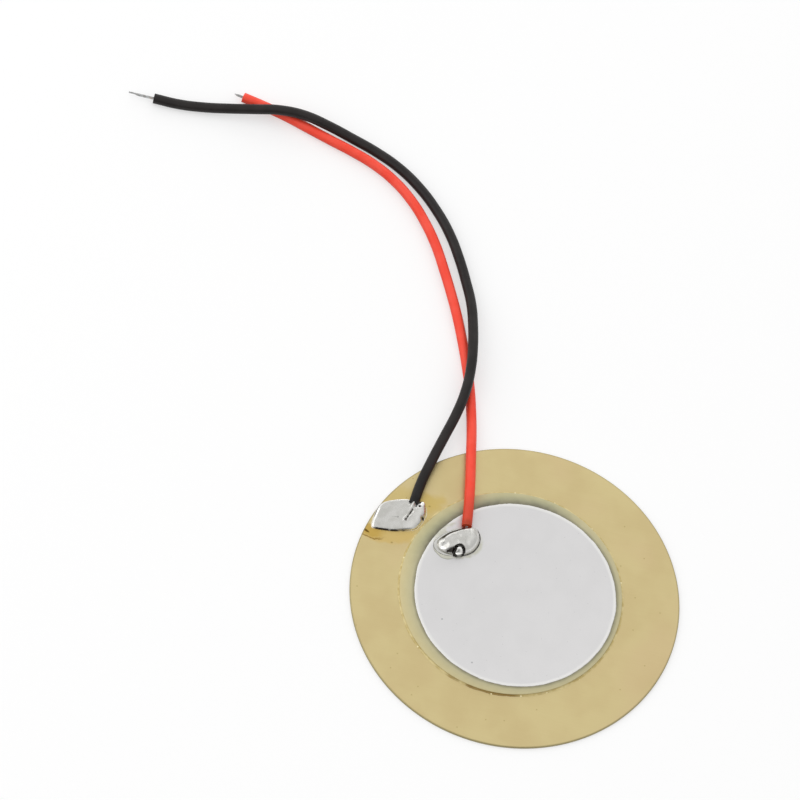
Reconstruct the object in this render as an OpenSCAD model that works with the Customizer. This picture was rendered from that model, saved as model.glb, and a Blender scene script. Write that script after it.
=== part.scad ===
// Piezo sounder disc: a ceramic element bonded to a brass plate, with two insulated leads soldered on.
// The plate lies flat, component side up. Its underside is at z = 0, centred on the origin, and the
// leads leave towards +Y, come down to the surface that the plate lies on, and bend away towards -X.

/* [Brass plate] */
// Diameter of the brass plate
plate_d = 35; // [34:0.5:36]
// Thickness of the brass plate
plate_t = 0.3; // [0.2:0.05:0.35]
// Radius that the stamping die rolls onto the upper edge
plate_roll_r = 0.1; // [0.04:0.01:0.14]
// Width of the small bevel left on the lower edge
plate_bevel = 0.03; // [0.01:0.01:0.05]

/* [Piezo element] */
// Diameter of the ceramic disc
ceramic_d = 23.6; // [23.4:0.1:24.2]
// Thickness of the ceramic disc without its silver
ceramic_t = 0.2; // [0.16:0.01:0.25]
// Width of the lapped bevel round the top of the ceramic
ceramic_bevel = 0.04; // [0.01:0.01:0.08]
// Thickness of each silver electrode
silver_t = 0.02; // [0.01:0.005:0.03]
// Diameter of the printed upper electrode
electrode_d = 21.4; // [21.2:0.1:22]
// How far the ceramic was bonded off the plate's centre, along X
ceramic_off_x = -0.5; // [-0.6:0.1:-0.3]
// How far the ceramic was bonded off the plate's centre, along Y
ceramic_off_y = 0.2; // [-0.3:0.1:0.3]
// How far the electrode was printed off the plate's centre, along X
electrode_off_x = 0; // [-0.3:0.1:0]
// How far the electrode was printed off the plate's centre, along Y
electrode_off_y = 0.1; // [0:0.1:0.3]

/* [Adhesive] */
// Thickness of the adhesive film under the element
glue_t = 0.03; // [0.02:0.01:0.05]
// Width of the bead squeezed out round the ceramic
bead_w = 0.2; // [0.1:0.05:0.3]
// Height of that bead where it meets the ceramic
bead_h = 0.16; // [0.1:0.01:0.18]

/* [Solder joints] */
// Height of the solder on the plate, before the ridge over its strands
plate_solder_h = 0.85; // [0.75:0.05:1.1]
// How flat the solder on the plate is: higher is flatter, with steeper sides
plate_solder_flat = 6; // [2.5:0.5:8]
// How much lower the solder on the plate gets towards its front, for each millimetre ahead of its middle
plate_solder_lean = 0.25; // [0:0.05:0.3]
// Height of the solder on the electrode, before the ridge over its strands
electrode_solder_h = 0.95; // [0.8:0.05:1.1]
// How flat the solder on the electrode is: higher is flatter, with steeper sides
electrode_solder_flat = 3; // [2.5:0.5:6]
// How much the solder stands up along the strands that it covers
ridge_h = 0.25; // [0.1:0.05:0.4]
// Half width of that ridge
ridge_w = 0.5; // [0.4:0.05:0.7]
// Height of the round cap of solder over the end of the red lead's strands
cap_h = 0.2; // [0:0.05:0.3]
// Radius of that cap
cap_r = 0.4; // [0.3:0.05:0.5]

/* [Leads] */
// Outer diameter of the leads' insulation
lead_d = 1.1; // [1:0.05:1.15]
// Diameter of the bundle of bare strands
strands_d = 0.32; // [0.24:0.02:0.4]
// Length of the stripped far end of the black lead
black_bare_len = 2.8; // [2:0.2:5]
// Length of the stripped far end of the red lead
red_bare_len = 1; // [0.8:0.2:5]

/* [Hidden] */
$fn = 96;

// Heights of the layers above the surface that the plate lies on
glue_top = plate_t + glue_t;
ceramic_z = glue_top + silver_t;
ceramic_top = ceramic_z + ceramic_t;
silver_top = ceramic_top + silver_t;

// Footprint of the solder on the plate: a long pool between the plate's edge and the ceramic
PLATE_POOL = [[-16.45, 5.1], [-16.25, 6.0], [-15.9, 6.7], [-15.3, 7.35], [-14.4, 7.8], [-13.4, 8.1],
    [-12.3, 8.15], [-11.4, 7.8], [-11.0, 7.1], [-11.15, 6.2], [-11.55, 5.3], [-12.1, 4.8],
    [-13.2, 4.5], [-14.7, 4.25], [-15.8, 4.1], [-16.35, 4.2]];
// Footprint of the solder on the electrode: a pool with a pointed end towards -X
ELECTRODE_POOL = [[-9.5, 3.9], [-9.2, 4.6], [-8.5, 5.4], [-7.5, 6.1], [-6.5, 6.6], [-5.6, 6.6],
    [-5.05, 5.9], [-4.85, 4.9], [-5.2, 3.9], [-6.0, 3.2], [-7.1, 2.9], [-8.2, 2.9], [-9.1, 3.3]];

// Height of a lead's centre where it lies on the surface
lay = lead_d / 2 + 0.01;
// Routes of the leads' centres, from the solder to the stripped end
RED_ROUTE = [[-6.6, 6.3, 1.2], [-6.9, 9.0, 1.18], [-7.3, 11.8, 1.12], [-7.8, 14.7, 1.0],
    [-8.3, 17.6, 0.86], [-8.9, 20.4, 0.7], [-9.6, 23.1, 0.6], [-10.5, 25.8, lay],
    [-11.5, 28.5, lay], [-12.6, 31.2, lay], [-13.8, 33.8, lay], [-15.1, 36.4, lay],
    [-16.5, 39.0, lay], [-18.2, 41.5, lay], [-20.2, 43.8, lay], [-22.5, 45.7, lay],
    [-25.0, 47.1, lay], [-27.7, 48.1, lay], [-30.4, 48.9, lay], [-33.0, 49.7, lay],
    [-35.6, 50.5, lay], [-38.1, 51.1, lay], [-40.6, 51.6, lay]];
BLACK_ROUTE = [[-12.6, 7.7, 0.95], [-12.3, 10.4, 0.98], [-11.7, 13.3, 1.1], [-11.0, 16.2, 1.26],
    [-10.3, 19.1, 1.5], [-9.9, 21.9, 1.7], [-9.9, 24.7, 1.76], [-10.2, 27.4, 1.62],
    [-10.7, 30.1, 1.3], [-11.4, 32.8, 0.95], [-12.5, 35.5, 0.7], [-13.8, 38.2, 0.58],
    [-15.4, 40.9, lay], [-17.4, 43.4, lay], [-19.7, 45.6, lay], [-22.3, 47.4, lay],
    [-25.1, 48.7, lay], [-28.0, 49.6, 0.7], [-30.8, 50.2, 1.16], [-33.6, 50.5, 1.68],
    [-36.3, 50.4, 1.76], [-39.0, 50.0, 1.4], [-41.7, 49.6, 0.96], [-44.4, 49.2, 0.66],
    [-47.2, 48.9, lay], [-50.0, 48.9, lay]];
// Where the strands end inside the solder
RED_STRANDS_END = [-6.8, 3.3, 0.95];
BLACK_STRANDS_END = [-13.0, 5.5, 0.75];

// Rings of a solder joint, from its foot to near its crown, as shares of the footprint
POOL_RINGS = [1, 0.975, 0.92, 0.84, 0.72, 0.56, 0.38, 0.19];
// Points that round each stretch of a footprint
POOL_STEPS = 4;
// Sides of a lead's tube
LEAD_SIDES = 8;

// Sum of a list of points
function total(points, i = 0) = i == len(points) - 1 ? points[i] : points[i] + total(points, i + 1);

// Point at share t between p1 and p2, on the smooth curve that also passes p0 and p3
function on_curve(p0, p1, p2, p3, t) =
    0.5 * (2 * p1 + (p2 - p0) * t + (2 * p0 - 5 * p1 + 4 * p2 - p3) * t * t
        + (3 * p1 - p0 - 3 * p2 + p3) * t * t * t);

// Closed smooth outline through the given points
function smooth_outline(points) = [
    for (i = [0 : len(points) - 1], k = [0 : POOL_STEPS - 1])
        let (n = len(points))
        on_curve(points[(i + n - 1) % n], points[i], points[(i + 1) % n], points[(i + 2) % n],
            k / POOL_STEPS)
];

// Share of a joint's full height at share s of the way out to its foot: a full pillow that wets down
function pillow(s, flat) = pow(1 - pow(s, flat), 0.65);

// Distance from point p to the stretch from a to b, seen from above
function off_stretch(p, a, b) =
    let (d = b - a, t = max(0, min(1, (p - a) * d / (d * d))))
    norm(p - a - d * t);

// Bell curve, 1 at the middle and near nothing at twice the width
function bell(x, width) = exp(-pow(x / width, 2));

// Unit vector
function unit(v) = v / norm(v);

// Direction of a route at point i
function heading(route, i) =
    unit(route[min(i + 1, len(route) - 1)] - route[max(i - 1, 0)]);

// Ring of a tube round point p, square to direction d
function ring(p, d, r) =
    let (side = unit(cross(d, [0, 0, 1])), up = cross(side, d))
    [for (k = [0 : LEAD_SIDES - 1]) p + r * (side * cos(k * 360 / LEAD_SIDES)
        + up * sin(k * 360 / LEAD_SIDES))];

// Faces that join rings of n points each, with flat ends
function tube_faces(rings, n) = concat(
    [[for (k = [0 : n - 1]) k]],
    [for (i = [0 : rings - 2], k = [0 : n - 1])
        [i * n + k, (i + 1) * n + k, (i + 1) * n + (k + 1) % n, i * n + (k + 1) % n]],
    [[for (k = [n - 1 : -1 : 0]) (rings - 1) * n + k]]);

// Turns a solid built along +Z so that it points along v
module along(v) {
    rotate([0, acos(v.z / norm(v)), atan2(v.y, v.x)]) children();
}

// Round bundle of strands between two points
module strands(from, to) {
    translate(from) along(to - from) cylinder(h = norm(to - from), d = strands_d, $fn = 32);
}

// Space that a lead's insulation takes behind its first face, made a little long
module lead_socket(route, clearance) {
    translate(route[0]) along(route[1] - route[0])
        cylinder(h = 3, r = lead_d / 2 + clearance, $fn = 48);
}

// Half space ahead of a lead's first face, as a block
module lead_side(route) {
    translate(route[0]) along(route[1] - route[0]) translate([-2, -2, 0]) cube(4);
}

// Stripped strands from a lead's first face down into its solder
module soldered_end(route, end) {
    back = 0.3 * unit(route[0] - end);
    difference() {
        strands(route[0] + back, end);
        lead_side(route);
    }
}

// Solder pool on a flat face at height z, domed over the strands that end at strands_end
module solder_joint(points, z, h, flat, lean, route, strands_end, cap) {
    foot = smooth_outline(points);
    n = len(foot);
    middle = total(foot) / n;
    start = [route[0].x, route[0].y];
    stop = [strands_end.x, strands_end.y];
    rise = function (p, s)
        h * pillow(s, flat) * min(1, 1 + lean * (p.y - middle.y))
            + ridge_h * pillow(s, flat) * bell(off_stretch(p, start, stop), ridge_w)
            + cap * pow(pillow(s, flat), 0.5) * bell(norm(p - stop), cap_r);
    points = concat(
        [for (s = POOL_RINGS, q = foot)
            let (p = middle + s * (q - middle)) [p.x, p.y, z + rise(p, s)]],
        [[middle.x, middle.y, z + rise(middle, 0)]]);
    faces = concat(
        [[for (k = [0 : n - 1]) k]],
        [for (i = [0 : len(POOL_RINGS) - 2], k = [0 : n - 1], half = [0, 1])
            half == 0
                ? [i * n + k, (i + 1) * n + k, i * n + (k + 1) % n]
                : [i * n + (k + 1) % n, (i + 1) * n + k, (i + 1) * n + (k + 1) % n]],
        [for (k = [0 : n - 1]) let (last = (len(POOL_RINGS) - 1) * n)
            [last + k, len(POOL_RINGS) * n, last + (k + 1) % n]]);
    difference() {
        polyhedron(points, faces);
        lead_socket(route, 0.01);
        soldered_end(route, strands_end);
    }
}

// Insulated lead: one tube along its route
module lead(route) {
    polyhedron([for (i = [0 : len(route) - 1]) each ring(route[i], heading(route, i), lead_d / 2)],
        tube_faces(len(route), LEAD_SIDES));
}

// Stripped end of a lead, straight on from its last face
module bare_end(route, length) {
    last = route[len(route) - 1];
    translate(last) along(last - route[len(route) - 2])
        cylinder(h = length, d = strands_d, $fn = 32);
}

// Stamped sheet with its rolled upper edge
module brass_plate() {
    r = plate_d / 2;
    color("#cdbb83") rotate_extrude($fn = 180) polygon(concat(
        [[0, 0], [r - plate_bevel, 0], [r, plate_bevel]],
        [for (a = [0 : 15 : 90])
            [r - plate_roll_r * (1 - cos(a)), plate_t - plate_roll_r * (1 - sin(a))]],
        [[0, plate_t]]));
}

// Adhesive film, with a hollow-faced bead that climbs the ceramic's side
module adhesive_layer() {
    r = ceramic_d / 2;
    color("#b7a860") translate([ceramic_off_x, ceramic_off_y, plate_t]) rotate_extrude($fn = 180)
        polygon(concat(
            [[0, 0], [r + bead_w, 0]],
            [for (a = [15 : 15 : 75]) [r + bead_w * (1 - sin(a)), bead_h * (1 - cos(a))]],
            [[r, bead_h], [r, glue_t], [0, glue_t]]));
}

// Silver film under the ceramic
module lower_electrode() {
    color("#c9c9cb") translate([ceramic_off_x, ceramic_off_y, glue_top])
        cylinder(h = silver_t, d = ceramic_d, $fn = 180);
}

// Ceramic disc with a bevel round its top
module ceramic_disc() {
    r = ceramic_d / 2;
    color("#a9aa84") translate([ceramic_off_x, ceramic_off_y, ceramic_z]) rotate_extrude($fn = 180)
        polygon([[0, 0], [r, 0], [r, ceramic_t - ceramic_bevel], [r - ceramic_bevel, ceramic_t],
            [0, ceramic_t]]);
}

// Printed silver film on the ceramic
module upper_electrode() {
    color("#dededf") translate([electrode_off_x, electrode_off_y, ceramic_top])
        cylinder(h = silver_t, d = electrode_d, $fn = 180);
}

// Solder that joins the black lead to the plate
module plate_solder() {
    color("#c4c6c6") solder_joint(PLATE_POOL, plate_t, plate_solder_h,
        plate_solder_flat, plate_solder_lean, BLACK_ROUTE, BLACK_STRANDS_END, 0);
}

// Solder that joins the red lead to the electrode
module electrode_solder() {
    color("#c4c6c6") solder_joint(ELECTRODE_POOL, silver_top, electrode_solder_h,
        electrode_solder_flat, 0, RED_ROUTE, RED_STRANDS_END, cap_h);
}

module black_soldered_end() { color("#b9bbbd") soldered_end(BLACK_ROUTE, BLACK_STRANDS_END); }

module red_soldered_end() { color("#b9bbbd") soldered_end(RED_ROUTE, RED_STRANDS_END); }

module black_lead() { color("#2c2c2e") lead(BLACK_ROUTE); }

module red_lead() { color("#e2483c") lead(RED_ROUTE); }

module black_bare_end() { color("#b9bbbd") bare_end(BLACK_ROUTE, black_bare_len); }

module red_bare_end() { color("#b9bbbd") bare_end(RED_ROUTE, red_bare_len); }

brass_plate();
adhesive_layer();
lower_electrode();
ceramic_disc();
upper_electrode();
plate_solder();
electrode_solder();
black_soldered_end();
red_soldered_end();
black_lead();
red_lead();
black_bare_end();
red_bare_end();
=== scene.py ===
"""Piezo sounder disc with two soldered leads: the finish of every piece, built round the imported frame."""
import math

import bmesh
import bpy
from mathutils import Matrix, Vector, noise


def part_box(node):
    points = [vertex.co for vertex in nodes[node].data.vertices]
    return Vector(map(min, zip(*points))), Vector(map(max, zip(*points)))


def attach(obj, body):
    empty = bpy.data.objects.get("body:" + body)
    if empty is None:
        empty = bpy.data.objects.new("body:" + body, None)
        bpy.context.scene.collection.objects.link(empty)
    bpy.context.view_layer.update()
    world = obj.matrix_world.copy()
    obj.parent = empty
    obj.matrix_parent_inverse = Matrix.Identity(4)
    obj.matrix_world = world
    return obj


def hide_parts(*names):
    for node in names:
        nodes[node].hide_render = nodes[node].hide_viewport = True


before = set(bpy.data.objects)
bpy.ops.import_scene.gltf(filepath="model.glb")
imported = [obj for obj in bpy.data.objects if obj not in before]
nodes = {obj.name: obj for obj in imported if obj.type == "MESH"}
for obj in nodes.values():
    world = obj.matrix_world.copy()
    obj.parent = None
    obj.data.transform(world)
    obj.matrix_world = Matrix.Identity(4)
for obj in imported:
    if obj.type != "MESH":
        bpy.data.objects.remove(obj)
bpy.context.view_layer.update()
scene = bpy.context.scene

MM = 0.001

# Leads: PVC over seven twisted strands. A route follows the lead's middle from its joint to its far end,
# and LAY is the height of the middle where a lead lies on the floor.
LEAD_RADIUS = 0.55 * MM
LAY = 0.00056
RED_ROUTE = [
    (-0.0066, 0.0063, 0.0012), (-0.0069, 0.0090, 0.00118), (-0.0073, 0.0118, 0.00112),
    (-0.0078, 0.0147, 0.0010), (-0.0083, 0.0176, 0.00086), (-0.0089, 0.0204, 0.0007),
    (-0.0096, 0.0231, 0.0006), (-0.0105, 0.0258, LAY), (-0.0115, 0.0285, LAY),
    (-0.0126, 0.0312, LAY), (-0.0138, 0.0338, LAY), (-0.0151, 0.0364, LAY),
    (-0.0165, 0.0390, LAY), (-0.0182, 0.0415, LAY), (-0.0202, 0.0438, LAY),
    (-0.0225, 0.0457, LAY), (-0.0250, 0.0471, LAY), (-0.0277, 0.0481, LAY),
    (-0.0304, 0.0489, LAY), (-0.0330, 0.0497, LAY), (-0.0356, 0.0505, LAY),
    (-0.0381, 0.0511, LAY), (-0.0406, 0.0516, LAY),
]
BLACK_ROUTE = [
    (-0.0126, 0.0077, 0.00095), (-0.0123, 0.0104, 0.00098), (-0.0117, 0.0133, 0.0011),
    (-0.0110, 0.0162, 0.00126), (-0.0103, 0.0191, 0.0015), (-0.0099, 0.0219, 0.0017),
    (-0.0099, 0.0247, 0.00176), (-0.0102, 0.0274, 0.00162), (-0.0107, 0.0301, 0.0013),
    (-0.0114, 0.0328, 0.00095), (-0.0125, 0.0355, 0.0007), (-0.0138, 0.0382, 0.00058),
    (-0.0154, 0.0409, LAY), (-0.0174, 0.0434, LAY), (-0.0197, 0.0456, LAY),
    (-0.0223, 0.0474, LAY), (-0.0251, 0.0487, LAY), (-0.0280, 0.0496, 0.0007),
    (-0.0308, 0.0502, 0.00116), (-0.0336, 0.0505, 0.00168), (-0.0363, 0.0504, 0.00176),
    (-0.0390, 0.0500, 0.0014), (-0.0417, 0.0496, 0.00096), (-0.0444, 0.0492, 0.00066),
    (-0.0472, 0.0489, LAY), (-0.0500, 0.0489, LAY),
]
RED_BARE_LENGTH = 1 * MM
BLACK_BARE_LENGTH = 2.8 * MM
# Where the strands end inside the solder
RED_STRANDS_END = (-0.0068, 0.0033, 0.00095)
BLACK_STRANDS_END = (-0.0130, 0.0055, 0.00075)
# Six strands lie in a ring round the middle one and go once round it in a twist's length
STRAND_RADIUS = 0.05 * MM
STRAND_RING = 2.05 * STRAND_RADIUS
STRAND_STEP = 0.25 * MM
TWIST_LENGTH = 2.6 * MM

# How finely round pieces, the printed electrode's edge and the solder joints are divided
ROUND_STEPS = 360
EDGE_STEPS = 512
JOINT_SPOKES = 288
JOINT_RINGS = 110
# Points closer than this are one point, and edges sharper than the angle stay sharp
MERGE = 1e-7
SHARP_ANGLE = math.radians(50)

# Camera: long lens, looking down on the disc from the front and turned a little about its own axis
CAMERA_AIM = (-0.0165, 0.0199, 0)
CAMERA_DISTANCE = 0.735
CAMERA_ELEVATION = 61.6
CAMERA_AZIMUTH = -0.2
CAMERA_ROLL = 13.4
CAMERA_LENS = 310

# Softboxes: name, place, side of the square face, and how bright the face is beside a white wall
SOFTBOXES = [("left softbox", (-0.85, 0.04, 0.62), 0.9, 1.35),
             ("back softbox", (0.1, 1.05, 0.38), 0.66, 1.35)]
# The middle of the room's unlit side
UNLIT_SIDE = (0.1, -0.95, 0.22)


# ---------------------------------------------------------------- shader nodes

def colour(hex_code):
    """Linear colour, with alpha, of an sRGB hex value."""
    parts = [int(hex_code[i:i + 2], 16) / 255 for i in (1, 3, 5)]
    return tuple(c / 12.92 if c <= 0.04045 else ((c + 0.055) / 1.055) ** 2.4 for c in parts) + (1,)


def plug(tree, made, inputs):
    """Fills a node's inputs, by name or number, each with a value or with a link from a socket."""
    for name, value in inputs.items():
        if isinstance(value, bpy.types.NodeSocket):
            tree.links.new(value, made.inputs[name])
        else:
            made.inputs[name].default_value = value


def node(tree, kind, inputs=None, **settings):
    """Adds a shader node with its settings and inputs."""
    made = tree.nodes.new("ShaderNode" + kind)
    for name, value in settings.items():
        setattr(made, name, value)
    plug(tree, made, inputs or {})
    return made


def smooth_share(tree, value, start, end, most=1.0):
    """Socket that rises smoothly from 0 to most as value goes from start to end."""
    return node(tree, "MapRange", {"Value": value, 1: start, 2: end, 3: 0.0, 4: most},
                interpolation_type="SMOOTHSTEP").outputs[0]


def spread(tree, value, span, result):
    """Socket that goes evenly from one result to the other as value goes over its span."""
    return node(tree, "MapRange", {"Value": value, 1: span[0], 2: span[1],
                                   3: result[0], 4: result[1]}).outputs[0]


def mixed(tree, share, first, second):
    """Colour socket: first where share is 0 and second where it is 1."""
    return node(tree, "Mix", {0: share, 6: first, 7: second}, data_type="RGBA").outputs[2]


def tinted(tree, base, share, code):
    """Colour socket: base, taken towards a hex colour by share."""
    return mixed(tree, share, base, colour(code))


def maths(tree, operation, first, second=0.0):
    """Result of an operation on sockets or numbers."""
    return node(tree, "Math", {0: first, 1: second}, operation=operation).outputs[0]


def times(tree, first, second):
    """Product of two sockets or numbers."""
    return maths(tree, "MULTIPLY", first, second)


def largest(tree, first, second):
    """Larger of two sockets or numbers."""
    return maths(tree, "MAXIMUM", first, second)


def split(tree, vector):
    """The x, y and z sockets of a vector."""
    return node(tree, "SeparateXYZ", {0: vector}).outputs


def along(tree, vector, way):
    """How far a vector reaches along a direction."""
    return node(tree, "VectorMath", {0: vector, 1: way}, operation="DOT_PRODUCT").outputs["Value"]


def uneven(tree, place, scale, detail=3):
    """Noise about 0.5, in patches about 1 / scale across."""
    return node(tree, "TexNoise", {"Vector": place, "Scale": scale, "Detail": detail}).outputs[0]


def shown_rays(tree):
    """Two sockets: 1 for a ray straight from the camera, and 1 for that or a reflected ray.

    Both are 0 for a ray that only brings light.
    """
    path = node(tree, "LightPath").outputs
    direct = largest(tree, path["Is Camera Ray"], path["Is Transmission Ray"])
    return direct, largest(tree, direct, path["Is Glossy Ray"])


# ---------------------------------------------------------------- camera, light and floor

def make_camera():
    """Camera on its aim point, rolled so that the disc's back edge leans to the right."""
    elevation, azimuth = math.radians(CAMERA_ELEVATION), math.radians(CAMERA_AZIMUTH)
    back = Vector((math.sin(azimuth) * math.cos(elevation), -math.cos(azimuth) * math.cos(elevation),
                   math.sin(elevation)))
    data = bpy.data.cameras.new("camera")
    data.lens = CAMERA_LENS
    data.clip_start, data.clip_end = 0.01, 20
    camera = bpy.data.objects.new("camera", data)
    scene.collection.objects.link(camera)
    turn = (-back).to_track_quat("-Z", "Y").to_matrix() @ Matrix.Rotation(math.radians(CAMERA_ROLL), 3, "Z")
    camera.matrix_world = Matrix.Translation(Vector(CAMERA_AIM) + back * CAMERA_DISTANCE) @ turn.to_4x4()
    scene.camera = camera


def make_world():
    """White walls that fall off low down, on the right and most of all on the unlit side in front.

    Each softbox hides the wall behind it. The camera itself sees plain white everywhere.
    """
    world = bpy.data.worlds.new("studio")
    world.use_nodes = True
    scene.world = world
    tree = world.node_tree
    tree.nodes.clear()
    direct, shown = shown_rays(tree)
    direction = node(tree, "TexCoord").outputs["Generated"]
    x, _, z = split(tree, direction)
    front = along(tree, direction, Vector(UNLIT_SIDE).normalized())
    unlit = smooth_share(tree, front, math.cos(math.radians(36)), math.cos(math.radians(18)), 0.75)
    low = smooth_share(tree, z, 0.55, 0.0, 0.3)
    right = smooth_share(tree, x, 0.35, 0.9, 0.3)
    dark = largest(tree, largest(tree, unlit, low), right)
    for _, place, size, _ in SOFTBOXES:
        half = math.atan(size / math.sqrt(math.pi) / Vector(place).length)
        towards = along(tree, direction, Vector(place).normalized())
        hidden = smooth_share(tree, towards, math.cos(1.1 * half), math.cos(0.9 * half))
        dark = largest(tree, dark, hidden)
    loss = times(tree, dark, maths(tree, "SUBTRACT", 1.0, direct))
    level = spread(tree, shown, (0, 1), (0.95, 1))
    strength = times(tree, level, maths(tree, "SUBTRACT", 1.0, loss))
    background = node(tree, "Background", {"Color": colour("#FFFFFF"), "Strength": strength})
    node(tree, "OutputWorld", {"Surface": background.outputs[0]})


def softbox(name, place, size, level):
    """Square area lamp that looks at the disc. Its face is level times as bright as a white wall."""
    data = bpy.data.lights.new(name, "AREA")
    data.shape = "SQUARE"
    data.size = size
    data.energy = 4 * level * size * size
    lamp = bpy.data.objects.new(name, data)
    scene.collection.objects.link(lamp)
    towards = -Vector(place)
    lamp.matrix_world = Matrix.Translation(place) @ towards.to_track_quat("-Z", "Y").to_matrix().to_4x4()


def floor_material():
    """Pale matt board: lifted to white for the camera, with the object's soft shadow left on it."""
    material = bpy.data.materials.new("matt white board")
    material.use_nodes = True
    tree = material.node_tree
    tree.nodes.clear()
    _, shown = shown_rays(tree)
    matt = node(tree, "BsdfDiffuse", {"Color": (0.5, 0.5, 0.5, 1)})
    glow = node(tree, "Emission", {"Color": colour("#FFFFFF"), "Strength": times(tree, shown, 0.5)})
    both = node(tree, "AddShader", {0: matt.outputs[0], 1: glow.outputs[0]})
    node(tree, "OutputMaterial", {"Surface": both.outputs[0]})
    return material


def make_floor():
    """Board that the disc lies on."""
    bm = bmesh.new()
    bmesh.ops.create_grid(bm, x_segments=1, y_segments=1, size=3)
    mesh = bpy.data.meshes.new("floor")
    bm.to_mesh(mesh)
    bm.free()
    floor = bpy.data.objects.new("floor", mesh)
    floor.data.materials.append(floor_material())
    scene.collection.objects.link(floor)


# ---------------------------------------------------------------- materials

def new_material(name):
    """Material with an empty Principled shader, and the tree and shader to build it on."""
    material = bpy.data.materials.new(name)
    material.use_nodes = True
    tree = material.node_tree
    tree.nodes.clear()
    shader = node(tree, "BsdfPrincipled")
    node(tree, "OutputMaterial", {"Surface": shader.outputs[0]})
    return material, tree, shader


def millimetres(tree):
    """Object coordinates in millimetres. Every place and size in a material is in millimetres."""
    place = node(tree, "TexCoord").outputs["Object"]
    return node(tree, "VectorMath", {0: place, "Scale": 1 / MM}, operation="SCALE").outputs[0]


def relief(tree, height, strength, depth):
    """Normal socket of a fine relief, which is depth millimetres deep."""
    return node(tree, "Bump", {"Height": height, "Strength": strength, "Distance": depth * MM}).outputs[0]


def cloud(tree, place, scale, detail=3, low=0.35, high=0.65):
    """Soft random share from 0 to 1, with patches about 1 / scale millimetres across."""
    return smooth_share(tree, uneven(tree, place, scale, detail), low, high)


def specks(tree, place, spacing, size, share):
    """Small round dots: one in each spacing, of which only a share is kept."""
    cells = node(tree, "TexVoronoi", {"Vector": place, "Scale": 1 / spacing}, voronoi_dimensions="2D")
    near = smooth_share(tree, cells.outputs["Distance"], size / spacing, 0.5 * size / spacing)
    pick, _, _ = split(tree, cells.outputs["Color"])
    return times(tree, near, maths(tree, "GREATER_THAN", pick, 1 - share))


def wandered(tree, place, scale, amount):
    """Place moved about by noise, so that a patch's edge wanders."""
    shift = node(tree, "TexNoise", {"Vector": place, "Scale": scale, "Detail": 3}).outputs[1]
    centred = node(tree, "VectorMath", {0: shift, 1: (0.5, 0.5, 0.5)}, operation="SUBTRACT").outputs[0]
    moved = node(tree, "VectorMath", {0: centred, "Scale": amount}, operation="SCALE").outputs[0]
    return node(tree, "VectorMath", {0: place, 1: moved}, operation="ADD").outputs[0]


def oval(tree, place, centre, size, turn=0.0):
    """Distance from the middle of an oval, which is 1 on its edge. It runs through the whole height."""
    held = node(tree, "Mapping", {"Vector": place, "Location": (centre[0], centre[1], 0),
                                  "Rotation": (0, 0, math.radians(turn)),
                                  "Scale": (size[0], size[1], 1000)},
                vector_type="TEXTURE")
    return node(tree, "VectorMath", {0: held.outputs[0]}, operation="LENGTH").outputs["Value"]


def from_middle(tree, place, centre):
    """Distance from an upright axis."""
    return oval(tree, place, centre, (1, 1))


def edge_line(tree, distance, at, width):
    """1 where distance is at the stated value, and 0 from width away."""
    off = maths(tree, "ABSOLUTE", maths(tree, "SUBTRACT", distance, at))
    return smooth_share(tree, off, width, 0)


def ramp(tree, value, stops):
    """Colour socket from a list of (position, hex colour)."""
    made = node(tree, "ValToRGB", {0: value})
    elements = made.color_ramp.elements
    while len(elements) < len(stops):
        elements.new(0.5)
    for element, (position, code) in zip(elements, stops):
        element.position = position
        element.color = colour(code)
    return made.outputs[0]


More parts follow.
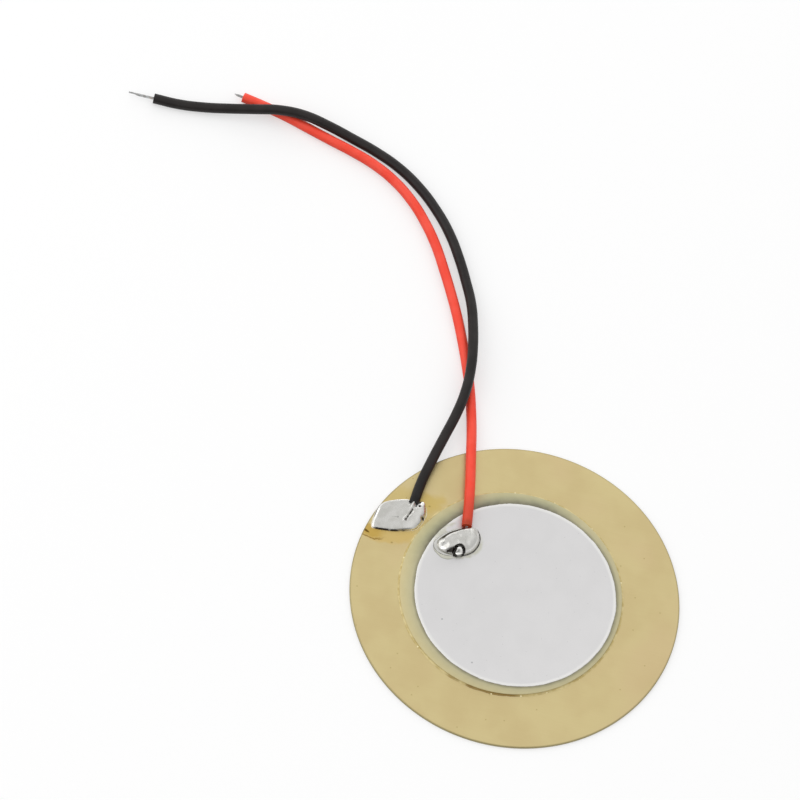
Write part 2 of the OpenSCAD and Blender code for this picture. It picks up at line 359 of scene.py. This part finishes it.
def brass_material():
    """Rolled brass: pale gold, clouded, flux-stained on top round its joint, darker along its rim."""
    material, tree, shader = new_material("rolled brass")
    place = millimetres(tree)
    clean = mixed(tree, cloud(tree, place, 0.2), colour("#CAB888"), colour("#CFBF8E"))
    clean = tinted(tree, clean, times(tree, cloud(tree, place, 0.09, 2, 0.5, 0.72), 0.6), "#CEB88D")

    # flux: a wide yellow stain round the joint and another beside it
    loose = wandered(tree, place, 0.8, 1.6)
    wide = oval(tree, loose, (-13.2, 6.9), (3.9, 3.1), 20)
    base = tinted(tree, clean, smooth_share(tree, wide, 1.12, 0.72, 0.5), "#C6B06A")
    beside = oval(tree, loose, (-10.9, 8.4), (1.9, 1.2), 35)
    base = tinted(tree, base, smooth_share(tree, beside, 1.1, 0.5, 0.6), "#C9B064")

    # flux below the joint: an amber puddle that dried with a dark outline and a burnt end
    lines = wandered(tree, place, 1.5, 0.7)
    below = oval(tree, lines, (-14.4, 3.75), (3.1, 1.15), 8)
    base = tinted(tree, base, smooth_share(tree, below, 1.12, 0.7, 0.8), "#CDB26F")
    puddle = oval(tree, lines, (-15.9, 3.85), (1.7, 1.0), 5)
    x, y, _ = split(tree, lines)
    left = smooth_share(tree, x, -14.5, -15.7)
    lower = smooth_share(tree, y, 3.9, 3.4)
    amber = times(tree, smooth_share(tree, puddle, 1.0, 0.7, 0.85), left)
    base = tinted(tree, base, amber, "#BF9F50")
    outline = times(tree, times(tree, edge_line(tree, puddle, 0.97, 0.14), lower), left)
    base = tinted(tree, base, times(tree, outline, 0.9), "#8C6C2E")
    burnt = oval(tree, lines, (-16.9, 3.7), (0.42, 0.15), -28)
    base = tinted(tree, base, smooth_share(tree, burnt, 1.4, 0.6, 0.9), "#5A4212")

    # spatter round the joint, and specks all over
    for spot in ((-17.1, 6.12), (-10.89, 8.09), (-13.92, 2.88)):
        stain = oval(tree, place, spot, (0.13, 0.1))
        base = tinted(tree, base, smooth_share(tree, stain, 1.4, 0.5, 0.55), "#8A7438")
    base = tinted(tree, base, times(tree, specks(tree, place, 2.6, 0.1, 0.35), 0.5), "#A08B52")

    # all of that on the upper face only, then darker along the rim
    _, _, upwards = split(tree, node(tree, "TexCoord").outputs["Normal"])
    base = mixed(tree, smooth_share(tree, upwards, 0, 0.3), clean, base)
    centre, r, _, _ = ring_of("brass_plate")
    edge = r / MM
    out = from_middle(tree, place, centre / MM)
    base = tinted(tree, base, smooth_share(tree, out, edge - 0.2, edge, 0.75), "#8F8560")

    grain = node(tree, "Mapping", {"Vector": place, "Rotation": (0, 0, 0.35), "Scale": (0.3, 10, 1)})
    rolled = uneven(tree, grain.outputs[0], 1, 2)
    plug(tree, shader, {"Base Color": base, "Metallic": 1,
                        "Roughness": spread(tree, rolled, (0.3, 0.7), (0.38, 0.46)),
                        "Normal": relief(tree, rolled, 0.05, 0.01)})
    return material


def adhesive_material():
    """Cured epoxy squeezed out round the ceramic: a glossy bead, pale with painted reflection and glints,
    brown at the front.
    """
    material, tree, shader = new_material("cured epoxy")
    place = millimetres(tree)
    # painted reflection: pale over the bead, with its own brown showing towards the front
    base = mixed(tree, cloud(tree, place, 1.4), colour("#C4AF70"), colour("#DCCC94"))
    _, y, _ = split(tree, place)
    front = smooth_share(tree, y, -9.8, -11.2)
    base = tinted(tree, base, times(tree, front, cloud(tree, place, 0.35, 2, 0.35, 0.55)), "#93783C")
    # painted glints: pale specks on the bead
    base = tinted(tree, base, specks(tree, place, 1.1, 0.12, 0.4), "#F2E7B8")
    plug(tree, shader, {"Base Color": base, "Roughness": 0.16})
    return material


def ceramic_material():
    """Fired lead zirconate titanate: unglazed and waxy, olive, greyer beside the silver that shades it."""
    material, tree, shader = new_material("lapped ceramic")
    place = millimetres(tree)
    centre, r, _, _ = ring_of("upper_electrode")
    inner, width = r / MM, 1.6
    out = from_middle(tree, wandered(tree, place, 0.5, 0.06), centre / MM)
    out = spread(tree, out, (inner, inner + width), (0, 1))
    # painted shade: darker next to the silver's edge, with a darker, shaded copy of the ramp towards the
    # back
    plain = ramp(tree, out, [(0.0, "#7D7860"), (0.1, "#999475"), (0.22, "#B9B18B"), (0.5, "#C3B98D"),
                             (1.0, "#CFC08D")])
    shaded = ramp(tree, out, [(0.0, "#5A5846"), (0.12, "#737059"), (0.34, "#9A9878"), (0.6, "#B4AF86"),
                              (1.0, "#C5BB8B")])
    back = smooth_share(tree, along(tree, place, (-0.5, 0.87, 0)), 5.5, 9.5)
    base = mixed(tree, back, plain, shaded)
    base = tinted(tree, base, times(tree, cloud(tree, place, 1.2), 0.12), "#D6CEA4")
    plug(tree, shader, {"Base Color": base, "Roughness": 0.38,
                        "Normal": relief(tree, uneven(tree, place, 9), 0.15, 0.01)})
    return material


def silver_material():
    """Screen-printed silver paste, fired: pale, matt, brighter on its thick edge, with pinholes."""
    material, tree, shader = new_material("fired silver")
    place = millimetres(tree)
    centre, r, _, _ = ring_of("upper_electrode")
    edge = r / MM
    base = mixed(tree, cloud(tree, place, 0.35), colour("#D6D5D5"), colour("#D8D7D7"))
    out = from_middle(tree, place, centre / MM)
    base = tinted(tree, base, smooth_share(tree, out, edge - 0.45, edge - 0.12, 0.8), "#E8E7E4")

    # dried flux round the joint: a patchy film, and a clear film with an outline on the lower left
    halo = oval(tree, wandered(tree, place, 1.2, 0.4), (-7.1, 4.72), (2.6, 2.12), 10)
    film = times(tree, smooth_share(tree, halo, 1.06, 0.94, 0.55), cloud(tree, place, 0.9, 2, 0.4, 0.6))
    base = tinted(tree, base, film, "#BDBCA4")
    dried = from_middle(tree, wandered(tree, place, 1.5, 0.2), (-8.04, 3.94))
    x, y, _ = split(tree, place)
    lower_left = times(tree, smooth_share(tree, x, -7.0, -7.7), smooth_share(tree, y, 3.7, 3.2))
    outline = times(tree, edge_line(tree, dried, 1.59, 0.1), lower_left)
    base = tinted(tree, base, times(tree, outline, 0.7), "#8E8E7C")
    inside = times(tree, smooth_share(tree, dried, 1.6, 1.5, 0.45), lower_left)
    base = tinted(tree, base, inside, "#C9C8A8")

    # pinholes: many fine ones and two larger ones
    base = tinted(tree, base, times(tree, specks(tree, place, 1.3, 0.05, 0.3), 0.4), "#96969A")
    for spot in ((-6.97, -4.69), (-2.91, -8.85)):
        pit = oval(tree, place, spot, (0.1, 0.1))
        base = tinted(tree, base, smooth_share(tree, pit, 1.3, 0.5, 0.55), "#77777C")

    grain = uneven(tree, place, 14, 2)
    plug(tree, shader, {"Base Color": base, "Metallic": 1,
                        "Roughness": spread(tree, grain, (0.3, 0.7), (0.46, 0.56)),
                        "Normal": relief(tree, grain, 0.08, 0.01)})
    return material


def solder_material():
    """Tin solder, flowed and frozen: grey, white where it has a painted highlight, with burnt flux in its
    creases and painted shade in its hollows and along its foot.
    """
    material, tree, shader = new_material("flowed solder")
    place = millimetres(tree)
    frost = uneven(tree, place, 1.3, 2)
    base = mixed(tree, smooth_share(tree, frost, 0.35, 0.7), colour("#CBCAC6"), colour("#BFBEB9"))
    # dark: burnt flux mixed with painted shade and painted dark reflection; white: painted highlight
    burnt = node(tree, "Attribute", attribute_name="flux_and_painted_shade").outputs["Fac"]
    patchy = spread(tree, uneven(tree, place, 3.5), (0.35, 0.6), (0.75, 1.15))
    dark = smooth_share(tree, times(tree, burnt, patchy), 0.2, 0.75)
    highlight_share = node(tree, "Attribute", attribute_name="painted_highlight").outputs["Fac"]
    base = tinted(tree, base, highlight_share, "#F3F2EE")
    base = tinted(tree, base, dark, "#231C16")
    plug(tree, shader, {"Base Color": base,
                        "Metallic": spread(tree, dark, (0.2, 0.9), (1, 0)),
                        "Roughness": spread(tree, frost, (0.35, 0.7), (0.2, 0.34)),
                        "Normal": relief(tree, frost, 0.1, 0.02)})
    return material


def tinned_material():
    """Tinned copper strands: dull silver-grey with a warmer tone where the tin is thin."""
    material, tree, shader = new_material("tinned copper")
    place = millimetres(tree)
    base = mixed(tree, cloud(tree, place, 3), colour("#A7A5A3"), colour("#C8C9C9"))
    base = tinted(tree, base, times(tree, cloud(tree, place, 1.7, 2, 0.55, 0.7), 0.5), "#B49A86")
    plug(tree, shader, {"Base Color": base, "Metallic": 1, "Roughness": 0.3})
    return material


def insulation_material(name, dark, light, scorched, joint, shine):
    """Extruded PVC: satin, faintly uneven, and scorched towards the joint where the iron was."""
    material, tree, shader = new_material(name)
    place = millimetres(tree)
    base = mixed(tree, cloud(tree, place, 0.5), colour(dark), colour(light))
    near = from_middle(tree, place, flat(joint))
    base = tinted(tree, base, smooth_share(tree, near, 5.0, 1.2, 0.5), scorched)
    base = tinted(tree, base, smooth_share(tree, near, 0.9, 0.3, 0.85), scorched)
    peel = uneven(tree, place, 4)
    plug(tree, shader, {"Base Color": base, "Specular IOR Level": shine,
                        "Roughness": spread(tree, peel, (0.35, 0.65), (0.36, 0.5)),
                        "Normal": relief(tree, peel, 0.2, 0.02)})
    return material


# ---------------------------------------------------------------- pieces

def piece(name, bm, material, replaced):
    """Object from a finished mesh: smooth-shaded, riding on the disc and standing for its CAD nodes."""
    mesh = bpy.data.meshes.new(name)
    bm.to_mesh(mesh)
    bm.free()
    mesh.shade_smooth()
    mesh.set_sharp_from_angle(angle=SHARP_ANGLE)
    mesh.materials.append(material)
    made = bpy.data.objects.new(name, mesh)
    scene.collection.objects.link(made)
    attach(made, "root")
    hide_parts(*replaced)
    return made


def ring_of(name):
    """Centre and radius of a round CAD node, and its lowest and highest levels."""
    lo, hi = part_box(name)
    return (lo + hi) / 2, (hi.x - lo.x) / 2, lo.z, hi.z


def spun(profile, centre, steps):
    """Closed round solid from a profile of (radius, height) points that starts and ends on its axis."""
    bm = bmesh.new()
    points = [bm.verts.new((r, 0, z)) for r, z in profile]
    edges = [bm.edges.new(pair) for pair in zip(points, points[1:])]
    bmesh.ops.spin(bm, geom=points + edges, cent=(0, 0, 0), axis=(0, 0, 1), angle=2 * math.pi,
                   steps=steps, use_merge=True)
    bmesh.ops.remove_doubles(bm, verts=bm.verts, dist=MERGE)
    bmesh.ops.recalc_face_normals(bm, faces=bm.faces)
    bmesh.ops.translate(bm, verts=bm.verts, vec=(centre.x, centre.y, 0))
    return bm


def quarter_turn():
    """Angles of a rounded edge."""
    return [math.radians(a) for a in range(0, 91, 10)]


def outwards(v, centre):
    """A vertex's distance from a round piece's axis, and the direction out to it."""
    out = Vector((v.co.x - centre.x, v.co.y - centre.y, 0))
    return out.length, out.normalized()


def brass_sheet(material):
    """Stamped sheet: the die has rolled its upper edge over and left a small bevel below."""
    centre, r, bottom, top = ring_of("brass_plate")
    roll = 0.1 * MM
    bevel = 0.03 * MM
    profile = [(0, bottom), (r - bevel, bottom), (r, bottom + bevel)]
    profile += [(r - roll * (1 - math.cos(a)), top - roll * (1 - math.sin(a))) for a in quarter_turn()]
    profile += [(r * 0.8, top), (0, top)]
    return piece("brass_sheet", spun(profile, centre, ROUND_STEPS), material, ["brass_plate"])


def adhesive_bead(material):
    """Adhesive film with the uneven bead that was squeezed out round the ceramic."""
    centre, outer, bottom, top = ring_of("adhesive_layer")
    _, r, _, _ = ring_of("ceramic_disc")
    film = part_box("lower_electrode")[0].z
    width = outer - r
    profile = [(0, bottom)]
    profile += [(r + width * (1 - math.sin(a)), bottom + (top - bottom) * (1 - math.cos(a)))
                for a in quarter_turn()]
    profile += [(r, film), (0, film)]
    bm = spun(profile, centre, ROUND_STEPS)
    for v in bm.verts:
        distance, way = outwards(v, centre)
        if distance > r + 1e-6:
            share = (distance - r) / width
            wander = noise.noise(way * 9) * 0.35 + noise.noise(way * 40) * 0.2
            v.co += way * width * share * wander
    return piece("adhesive_bead", bm, material, ["adhesive_layer"])


def ceramic(material):
    """Ceramic disc with its lapped bevel."""
    centre, r, bottom, top = ring_of("ceramic_disc")
    bevel = 0.04 * MM
    profile = [(0, bottom), (r, bottom), (r, top - bevel), (r - bevel * 0.3, top - bevel * 0.3),
               (r - bevel, top), (0, top)]
    return piece("ceramic_element", spun(profile, centre, ROUND_STEPS), material,
                 ["ceramic_disc"])


def printed_electrode(material):
    """Printed silver film: a little thicker along its edge, which wanders as the screen left it."""
    centre, r, bottom, top = ring_of("upper_electrode")
    bead = 0.02 * MM
    profile = [(0, bottom), (r, bottom), (r - 0.01 * MM, top), (r - 0.06 * MM, top + bead),
               (r - 0.16 * MM, top + bead), (r - 0.3 * MM, top), (0, top)]
    bm = spun(profile, centre, EDGE_STEPS)
    for v in bm.verts:
        distance, way = outwards(v, centre)
        if distance > r * 0.9:
            v.co += way * (noise.noise(way * 6) * 0.05 + noise.noise(way * 45) * 0.03) * MM
    return piece("printed_electrode", bm, material, ["upper_electrode"])


# ---------------------------------------------------------------- solder joints

def flat(point):
    """A point's x and y in millimetres."""
    return Vector(point[:2]) / MM


def bell(x, width):
    """1 at the middle and near nothing at twice the width."""
    return math.exp(-(x / width) ** 2)


def smooth(x, start, end):
    """Rises smoothly from 0 to 1 as x goes from start to end."""
    t = max(0, min(1, (x - start) / (end - start)))
    return t * t * (3 - 2 * t)


def off_stretch(p, a, b):
    """Distance from p to the stretch from a to b."""
    d = b - a
    t = max(0, min(1, (p - a).dot(d) / d.dot(d)))
    return (p - a - d * t).length


def ripple(p, scale):
    """Random height from -1 to 1 at a point of a surface, in swells about 1 / scale apart."""
    return noise.noise(Vector((p.x, p.y, 0)) * scale)


def foot_radius(name):
    """Centre and level of a solder joint's foot, and a function that gives its radius in a direction."""
    verts = [v.co for v in nodes[name].data.vertices]
    low = min(v.z for v in verts)
    foot = {(round(v.x, 7), round(v.y, 7)) for v in verts if v.z < low + 1e-6}
    middle = Vector((sum(p[0] for p in foot), sum(p[1] for p in foot))) / len(foot)
    polar = sorted((math.atan2(y - middle.y, x - middle.x), math.hypot(x - middle.x, y - middle.y))
                   for x, y in foot)

    def radius(angle):
        """Smooth curve through the corners of the foot."""
        count = len(polar)
        after = next((i for i, p in enumerate(polar) if p[0] > angle), 0)
        a0, r0 = polar[after - 1]
        a1, r1 = polar[after]
        t = ((angle - a0) % (2 * math.pi)) / ((a1 - a0) % (2 * math.pi))
        before, beyond = polar[after - 2][1], polar[(after + 1) % count][1]
        return 0.5 * (2 * r0 + (r1 - before) * t + (2 * before - 5 * r0 + 4 * r1 - beyond) * t ** 2
                      + (3 * r0 - before - 3 * r1 + beyond) * t ** 3)

    return middle, low, radius


def solder(name, node_name, material, crept, surface):
    """Solder joint drawn over the foot of the CAD joint.

    crept(way) is how far it has crept out that way, as a share of the foot's radius. surface(point,
    share, way) gives its height, its burnt flux with painted shade and its painted highlight at a point,
    in millimetres, that lies at that share of the way out to its edge.
    """
    middle, low, radius = foot_radius(node_name)
    bm = bmesh.new()
    flux_and_painted_shade = bm.verts.layers.float.new("flux_and_painted_shade")
    painted_highlight = bm.verts.layers.float.new("painted_highlight")
    bmesh.ops.create_uvsphere(bm, u_segments=JOINT_SPOKES, v_segments=2 * JOINT_RINGS, radius=1)
    cut = bmesh.ops.bisect_plane(bm, geom=list(bm.verts) + list(bm.edges) + list(bm.faces),
                                 plane_co=(0, 0, 0), plane_no=(0, 0, 1), clear_inner=True)
    rim = [g for g in cut["geom_cut"] if isinstance(g, bmesh.types.BMEdge)]
    bmesh.ops.contextual_create(bm, geom=rim)
    for v in bm.verts:
        share = min(1, math.hypot(v.co.x, v.co.y))
        way = Vector((v.co.x, v.co.y)).normalized() if share else Vector((0, 0))
        reach = share * radius(math.atan2(v.co.y, v.co.x)) * (1 + crept(way)) if share else 0
        spot = middle + way * reach
        height, burnt, highlight_share = surface(spot / MM, share, way)
        on_rim = share > 0.9999
        if on_rim:
            height = 0
        v.co = (spot.x, spot.y, low + max(0, height) * MM)
        v[flux_and_painted_shade] = min(1, burnt)
        v[painted_highlight] = min(1, highlight_share)
    bmesh.ops.recalc_face_normals(bm, faces=bm.faces)
    return piece(name, bm, material, [node_name])


def plate_joint(material):
    """Flat-topped joint of the black lead on the brass, split by a crease along its strands.

    Its places and lengths are in millimetres.
    """
    start, stop = flat(BLACK_ROUTE[0]), flat(BLACK_STRANDS_END)
    edge = 0.99
    film_height, crown_height, level_y, lean = 0.02, 0.83, 6.15, 0.37
    crease_top, crease_bend, pit = Vector((-12.57, 6.87)), Vector((-12.74, 6.35)), Vector((-13.02, 5.58))
    crumbs = [Vector((-12.43, 6.52)), Vector((-12.6, 6.07)), Vector((-12.2, 7.12))]
    nub, nub_radius, nub_height = Vector((-11.7, 7.78)), 0.38, 0.5
    dot, notch = Vector((-11.9, 7.47)), Vector((-11.3, 6.27))
    sunk, seam_end = Vector((-13.9, 5.67)), Vector((-15.1, 5.5))
    left, right, front = Vector((-0.96, 0.28)), Vector((0.77, 0.64)), Vector((-0.25, -0.97))

    def crept(way):
        """To the left, the right and the front."""
        return (0.09 * bell((way - left).length, 0.35) + 0.08 * bell((way - right).length, 0.2)
                + 0.08 * bell((way - front).length, 0.6))

    def surface(p, share, way):
        """Height, burnt flux with painted shade, and painted highlight."""
        # a thin wetted film, and on it a pillow that leans towards its front
        t = share / edge
        fullness = 18 - 9 * smooth(way.x, 0.3, 0.8)
        pillow = (1 - t ** fullness) ** 0.6 if t < 1 else 0
        crown = min(1, 1 + lean * (p.y - level_y)) * crown_height
        crown += 0.03 * ripple(p, 0.8) + 0.015 * ripple(p, 2.1)
        height = film_height * (1 - share ** 20) ** 0.5 + crown * pillow

        # a swell over the strands, which stand out of the solder next to the lead
        strand = off_stretch(p, start, stop)
        height += 0.08 * pillow * bell(strand, 0.45)
        beside_lead = bell((p - start).length, 0.5)
        height += pillow * beside_lead * (0.28 * bell(strand, 0.16) - 0.2 * smooth(strand, 0.12, 0.32))

        # marks: crumbs, a sunk spot with its seam, the crease and its pit, the notch, the dot and the nub
        seam = off_stretch(p, seam_end, sunk)
        crease = min(off_stretch(p, crease_top, crease_bend), off_stretch(p, crease_bend, pit))
        off_nub = (p - nub).length
        height += sum(0.09 * bell((p - crumb).length, 0.1) for crumb in crumbs)
        height -= 0.02 * bell((p - sunk).length, 0.2) + 0.015 * bell(seam, 0.08)
        height -= 0.12 * bell(crease, 0.07) + 0.2 * bell((p - pit).length, 0.11)
        height += 0.02 * bell((p - pit).length - 0.26, 0.08) + 0.02 * bell(crease - 0.17, 0.08)
        height -= 0.4 * pillow * bell((p - notch).length, 0.17) + 0.15 * bell((p - dot).length, 0.14)
        if off_nub < nub_radius:
            height = max(height, nub_height + math.sqrt(nub_radius ** 2 - off_nub ** 2))

        # burnt flux in the marks, and painted contact shade with flux along the front of the foot and
        # behind it
        dashes = 0.5 + 0.5 * smooth(ripple(p, 4.5), -0.2, 0.1)
        burnt = max(bell(crease, 0.06) * dashes, bell((p - pit).length, 0.14), bell((p - dot).length, 0.17),
                    bell((p - notch).length, 0.19), 0.4 * bell((p - sunk).length, 0.2),
                    0.38 * bell(seam, 0.07))
        before = 0.95 * smooth(-way.y, 0.35, 0.7) * smooth(ripple(p, 1.9), -0.7, 0)
        before *= smooth(-way.x, -0.75, -0.3) * (1 - smooth(-way.x, 0.68, 0.8))
        behind = smooth(way.y - way.x, 0.4, 0.8)
        line = smooth(t, 0.925, 0.945) * (1 - 0.6 * smooth(t, 0.965, 0.985))
        foot = max(smooth(t, 0.93, 0.955) * before, 0.75 * line * behind)

        # painted highlight: the rim on the left, the right and behind, the crumbs, the nub and the right
        # side
        rim = smooth(t, 0.92, 0.97) * max(smooth(-way.x, -0.15, 0.35), smooth(way.x, 0.5, 0.8))
        rim = max(rim, smooth(t, 0.84, 0.88) * behind)
        beads = max(bell((p - crumb).length, 0.12) for crumb in crumbs)
        on_right = 0.25 * smooth(share * way.x, 0.3, 0.7)
        return height, max(burnt, foot), max(rim, beads, on_right, 1 - smooth(off_nub, 0.2, 0.28))

    return solder("plate_joint", "plate_solder", material, crept, surface)


def electrode_joint(material):
    """Domed joint of the red lead on the silver, ringed by a crease, with the strands balled at its front.

    Its places and lengths are in millimetres.
    """
    start, stop = flat(RED_ROUTE[0]), flat(RED_STRANDS_END)
    film_height, dome_height = 0.07, 0.95
    ball, ball_radius, ball_height = Vector((-6.8, 3.21)), 0.43, 0.33
    wedge_start, wedge_end = Vector((-7.3, 3.3)), Vector((-8.0, 3.05))
    blob, blob_way, blob_side = Vector((-8.45, 3.2)), Vector((-0.78, -0.63)), Vector((-0.63, 0.78))
    freckle, grey = Vector((-8.05, 3.75)), Vector((-8.85, 4.1))
    low, high, front = Vector((-0.72, -0.69)), Vector((0.85, 0.53)), Vector((0.1, -1))
    to_upper_left, to_lower_left = Vector((-0.67, 0.74)), Vector((-0.93, -0.37))
    to_right = Vector((0.97, -0.25))

    def crept(way):
        """To the lower left, the upper right and the front."""
        return (0.13 * bell((way - low).length, 0.5) + 0.04 * bell((way - high).length, 0.4)
                + 0.05 * bell((way - front).length, 0.3))

    def surface(p, share, way):
        """Height, burnt flux with painted shade, and painted highlight."""
        upper_left = smooth(way.dot(to_upper_left), 0.42, 0.6)
        lower_left = smooth(way.dot(to_lower_left), 0.45, 0.95)
        right = smooth(way.dot(to_right), 0.3, 0.75)

        # a thin wetted film, and a dome with a swell over the strands and a flat flank at its left tip
        edge = 0.945 - 0.07 * max(lower_left, upper_left)
        t = share / edge
        dome = dome_height * (1 - t ** 3.4) ** 0.58 if t < 1 else 0
        height = film_height * (1 - share ** 10) ** 0.5
        height += dome * (1 + 0.04 * ripple(p, 0.9) + 0.03 * ripple(p, 2.3))
        height += 0.12 * dome * bell(off_stretch(p, start, stop), 0.45)
        if t < 1:
            flank = 0.49 - 0.64 * (p - blob).dot(blob_way) + 0.014 * ripple(p, 2.3)
            flank += 0.4 * max(0, (p - blob).dot(blob_side) - 0.27 - 0.1 * ripple(p, 3.0))
            height = min(height, flank)

        # the ball in its moat, and a wedge of a hollow to its left, darkened below with painted reflection
        away = (p - ball).length
        rough_away = away + 0.05 * ripple(p, 2.5)
        moat = smooth(away, 0.36, 0.46) * (1 - smooth(rough_away, 0.55, 0.75))
        height *= 1 - 0.65 * moat
        if away < ball_radius:
            height = max(height, ball_height + 0.5 * math.sqrt(ball_radius ** 2 - away ** 2))
        wedge_width = 0.32 - 0.23 * smooth((p - wedge_start).length, 0, 0.75)
        wedge = 1.6 * bell(off_stretch(p, wedge_start, wedge_end), wedge_width)
        height -= 0.12 * dome * min(1, wedge)

        # the stepped arc over the dome's upper left
        first = 0.71 - 0.04 * smooth(way.y, 0.15, 0.55)
        begun = smooth(t, first - 0.03, first + 0.03)
        arc = begun * (1 - smooth(t, first + 0.17, first + 0.24))
        height -= 0.06 * arc * upper_left

        # dark: painted reflection in the arc and the hollow, burnt flux with painted shade in the moat,
        # painted contact shade along the foot, and burnt flux in two spots
        ring = smooth(away, 0.37, 0.42) * (1 - smooth(rough_away, 0.56, 0.66))
        skirt = smooth(share, 0.94, 0.955) * (1 - 0.7 * smooth(share, 0.98, 0.99))
        burnt = max(arc * upper_left, skirt * right * 0.85, 0.85 * wedge, ring,
                    0.45 * bell((p - freckle).length, 0.07), 0.5 * smooth(share, 0.965, 0.985),
                    0.42 * bell((p - grey).length, 0.32))

        # painted highlight: inside the arc, along the lit part of the edge, on the ball and on the right
        # side
        inside = smooth(t, first - 0.17, first - 0.1) * (1 - begun) * upper_left
        lit = max(lower_left * smooth(-way.y, 0.3, 0.55), right)
        outer = smooth(t, 0.8, 0.9) * (1 - smooth(t, 0.96, 1.0)) * lit
        highlight_share = max(inside, outer, 1 - smooth(away, 0.33, 0.38), 0.3 * smooth(share * way.x, 0.2, 0.6))
        return height, burnt, highlight_share

    return solder("electrode_joint", "electrode_solder", material, crept, surface)


# ---------------------------------------------------------------- leads

def tube_mesh(name, lines, radius, sides, steps):
    """Mesh of tubes with closed ends, smoothly through each line's points."""
    curve = bpy.data.curves.new(name, "CURVE")
    curve.dimensions = "3D"
    curve.bevel_depth = radius
    curve.bevel_resolution = sides // 2 - 2
    curve.resolution_u = steps
    curve.use_fill_caps = True
    for line in lines:
        spline = curve.splines.new("BEZIER")
        spline.bezier_points.add(len(line) - 1)
        for point, place in zip(spline.bezier_points, line):
            point.co = place
            point.handle_left_type = point.handle_right_type = "AUTO"
    holder = bpy.data.objects.new(name, curve)
    scene.collection.objects.link(holder)
    ready = holder.evaluated_get(bpy.context.evaluated_depsgraph_get())
    mesh = bpy.data.meshes.new_from_object(ready)
    bpy.data.objects.remove(holder)
    bm = bmesh.new()
    bm.from_mesh(mesh)
    bpy.data.meshes.remove(mesh)
    bmesh.ops.remove_doubles(bm, verts=bm.verts, dist=MERGE)
    bmesh.ops.recalc_face_normals(bm, faces=bm.faces)
    return bm


def strands(name, start, end, material, replaced, uneven_cut):
    """Seven strands, twisted and tinned: one along the middle and six wound round it.

    uneven_cut is how much of its length the shortest of them has lost.
    """
    axis = end - start
    side = axis.cross(Vector((0, 0, 1))).normalized()
    up = side.cross(axis).normalized()
    steps = max(6, round(axis.length / STRAND_STEP))
    lines = [[start + axis * i / steps for i in range(steps + 1)]]
    for k in range(6):
        line = []
        for i in range(steps + 1 - round(steps * uneven_cut * k / 5)):
            turn = math.radians(60 * k) + 2 * math.pi * axis.length * i / steps / TWIST_LENGTH
            ring = (side * math.cos(turn) + up * math.sin(turn)) * STRAND_RING
            line.append(start + axis * i / steps + ring)
        lines.append(line)
    bm = tube_mesh(name, lines, STRAND_RADIUS, sides=8, steps=3)
    return piece(name, bm, material, replaced)


def far_strands(name, route, length, material):
    """Stripped end of a lead, straight on from its last face."""
    last, before = Vector(route[-1]), Vector(route[-2])
    return strands(name + "_strands", last, last + (last - before).normalized() * length,
                   material, [name], uneven_cut=0.45)


def inner_strands(name, route, stop, material):
    """Stripped strands that run from the lead down into its solder."""
    return strands(name + "_strands", Vector(route[0]), Vector(stop), material, [name], uneven_cut=0)


def lead(name, route, material):
    """Insulated lead along its route, cut square at both ends, where the sleeve's wall stands out."""
    wall, slope, sunk = 0.3 * MM, 0.01 * MM, 0.08 * MM
    bm = tube_mesh(name, [[Vector(p) for p in route]], LEAD_RADIUS, sides=24, steps=10)
    ends = [f for f in bm.faces if len(f.verts) > 4]
    for face in ends:
        bmesh.ops.inset_region(bm, faces=[face], thickness=wall)
        bmesh.ops.inset_region(bm, faces=[face], thickness=slope, depth=-sunk)
    made = piece(name + "_insulation", bm, material, [name])
    return made


# ---------------------------------------------------------------- the disc

make_camera()
tinned = tinned_material()
red_pvc = insulation_material("extruded red PVC", "#F7462F", "#FB523E", "#A8360F", RED_ROUTE[0], 0.35)
black_pvc = insulation_material("extruded black PVC", "#1F1B1A", "#272322", "#0E0C0B", BLACK_ROUTE[0], 0.25)
red_tip = far_strands("red_bare_end", RED_ROUTE, RED_BARE_LENGTH, tinned)
black_tip = far_strands("black_bare_end", BLACK_ROUTE, BLACK_BARE_LENGTH, tinned)
lead("red_lead", RED_ROUTE, red_pvc)
lead("black_lead", BLACK_ROUTE, black_pvc)
inner_strands("red_soldered_end", RED_ROUTE, RED_STRANDS_END, tinned)
inner_strands("black_soldered_end", BLACK_ROUTE, BLACK_STRANDS_END, tinned)

silver = silver_material()
bright_solder = solder_material()
brass_sheet(brass_material())
adhesive_bead(adhesive_material())
ceramic(ceramic_material())
printed_electrode(silver)
# the film under the ceramic is hidden, so the CAD solid stays and only takes the finish
for held in nodes["lower_electrode"].material_slots:
    held.material = silver
plate_joint(bright_solder)
electrode_joint(bright_solder)

make_world()
make_floor()
for lamp in SOFTBOXES:
    softbox(*lamp)
scene.view_settings.view_transform = "Standard"
